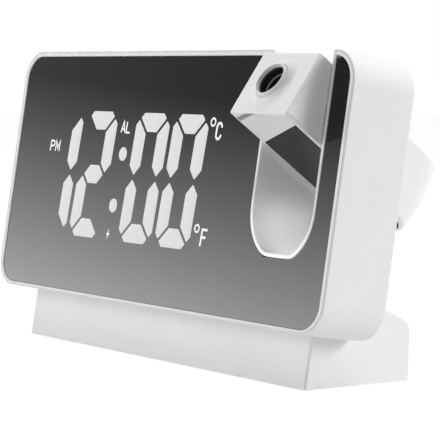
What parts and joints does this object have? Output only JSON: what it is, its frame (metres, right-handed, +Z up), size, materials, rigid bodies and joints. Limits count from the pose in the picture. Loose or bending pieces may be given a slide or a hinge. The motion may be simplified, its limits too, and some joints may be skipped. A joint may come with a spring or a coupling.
{
  "type": "projection alarm clock",
  "caption": "Leaning digital alarm clock with a mirrored front, a wedge stand, and a projector arm that swings through a slot in the case.",
  "frame": {"origin": "middle of the stand's flat underside, in the plane of the surface it stands on", "axes": "+X to the right seen from the front, +Y to the back, +Z up"},
  "size_m": [0.186, 0.064, 0.1011],
  "materials": {
    "white_shell": "smooth satin white",
    "white_control": "satin white",
    "mirror_face": "dark mirror",
    "arm_insert": "dark gloss",
    "digit_light": "white diffuser",
    "reflector_white": "matt white",
    "circuit_board": "solder mask",
    "black_part": "matt black",
    "black_rubber": "matt",
    "pad_rubber": "matt",
    "lead_sheath": "matt",
    "cable_sheath": "satin",
    "steel": "plain",
    "spring_brass": "plain",
    "clear_lens": "polished",
    "display_glass": "polished",
    "led_chip": "clear over phosphor",
    "washer_plastic": "matt"
  },
  "bodies": {
    "clock": {"front_case": "white_shell", "mirror_panel": "mirror_face", "panel_gasket": "black_rubber", "display_segments": "digit_light", "display_reflector": "reflector_white", "display_board": "circuit_board", "segment_leds": "led_chip", "display_screws": "steel", "board_header": "black_part", "rear_cover": "white_shell", "case_screws": "steel", "main_board": "circuit_board", "main_board_screws": "steel", "tact_switches": "black_part", "buzzer": "black_part", "port_board": "circuit_board", "port_cable": "cable_sheath", "usb_outlet": "steel", "power_inlet": "steel", "coin_cell": "steel", "cell_contacts": "spring_brass", "snooze_switch": "black_part", "case_lead": "lead_sheath", "tension_washer": "spring_brass", "stand_shell": "white_shell", "stand_cover": "white_shell", "stand_pad": "pad_rubber", "stand_screws": "steel", "stand_cover_screws": "steel"},
    "projector_arm": {"arm_housing": "white_shell", "arm_front_cover": "white_shell", "arm_mirror": "arm_insert", "arm_cover_screws": "steel", "optics_barrel": "black_part", "image_slide": "display_glass", "condenser_lens": "clear_lens", "led_board": "circuit_board", "projector_led": "led_chip", "arm_lead": "lead_sheath", "pivot_bush": "steel", "pivot_pin": "steel", "slip_washers": "washer_plastic", "pivot_clip": "steel"},
    "focus_ring": {"focus_ring": "white_control"},
    "lens_cell": {"lens_cell": "black_part", "front_lens": "clear_lens", "rear_lens": "clear_lens"},
    "snooze_bar": {"snooze_bar": "white_control"},
    "cell_door": {"cell_door": "white_control"},
    "mode_button": {"mode_button": "white_control"},
    "set_button": {"set_button": "white_control"},
    "plus_button": {"plus_button": "white_control"},
    "minus_button": {"minus_button": "white_control"},
    "lamp_button": {"lamp_button": "white_control"}
  },
  "joints": [
    {"name": "arm_tilt", "type": "hinge", "parent": "clock", "child": "projector_arm", "pos_m": [0.06765, -0.00531, 0.07724], "axis": [1, 0, 0], "range_deg": [-153.3, 26.7]},
    {"name": "focus_turn", "type": "hinge", "parent": "projector_arm", "child": "focus_ring", "pos_m": [0.06765, -0.00531, 0.07724], "axis": [0, -0.8151, 0.5793], "range_deg": [-90, 90]},
    {"name": "focus_slide", "type": "slide", "parent": "projector_arm", "child": "lens_cell", "axis": [0, -0.8151, 0.5793], "range_m": [-0.001, 0.001]},
    {"name": "snooze_press", "type": "slide", "parent": "clock", "child": "snooze_bar", "axis": [0, -0.1513, -0.9885], "range_m": [0, 0.0006], "stiffness_N_per_m": 250, "springref_m": -0.0004},
    {"name": "door_twist", "type": "hinge", "parent": "clock", "child": "cell_door", "pos_m": [-0.062, 0.00489, 0.06557], "axis": [0, 0.9885, -0.1513], "range_deg": [0, 40]},
    {"name": "mode_press", "type": "slide", "parent": "clock", "child": "mode_button", "axis": [0, -0.9885, 0.1513], "range_m": [0, 0.0006], "stiffness_N_per_m": 250},
    {"name": "set_press", "type": "slide", "parent": "clock", "child": "set_button", "axis": [0, -0.9885, 0.1513], "range_m": [0, 0.0006], "stiffness_N_per_m": 250},
    {"name": "plus_press", "type": "slide", "parent": "clock", "child": "plus_button", "axis": [0, -0.9885, 0.1513], "range_m": [0, 0.0006], "stiffness_N_per_m": 250},
    {"name": "minus_press", "type": "slide", "parent": "clock", "child": "minus_button", "axis": [0, -0.9885, 0.1513], "range_m": [0, 0.0006], "stiffness_N_per_m": 250},
    {"name": "lamp_press", "type": "slide", "parent": "clock", "child": "lamp_button", "axis": [0, -0.9885, 0.1513], "range_m": [0, 0.0006], "stiffness_N_per_m": 250}
  ],
  "couplings": [
    {"joint": "focus_turn", "follows": "focus_slide", "rad_per_m": 1570.8}
  ]
}
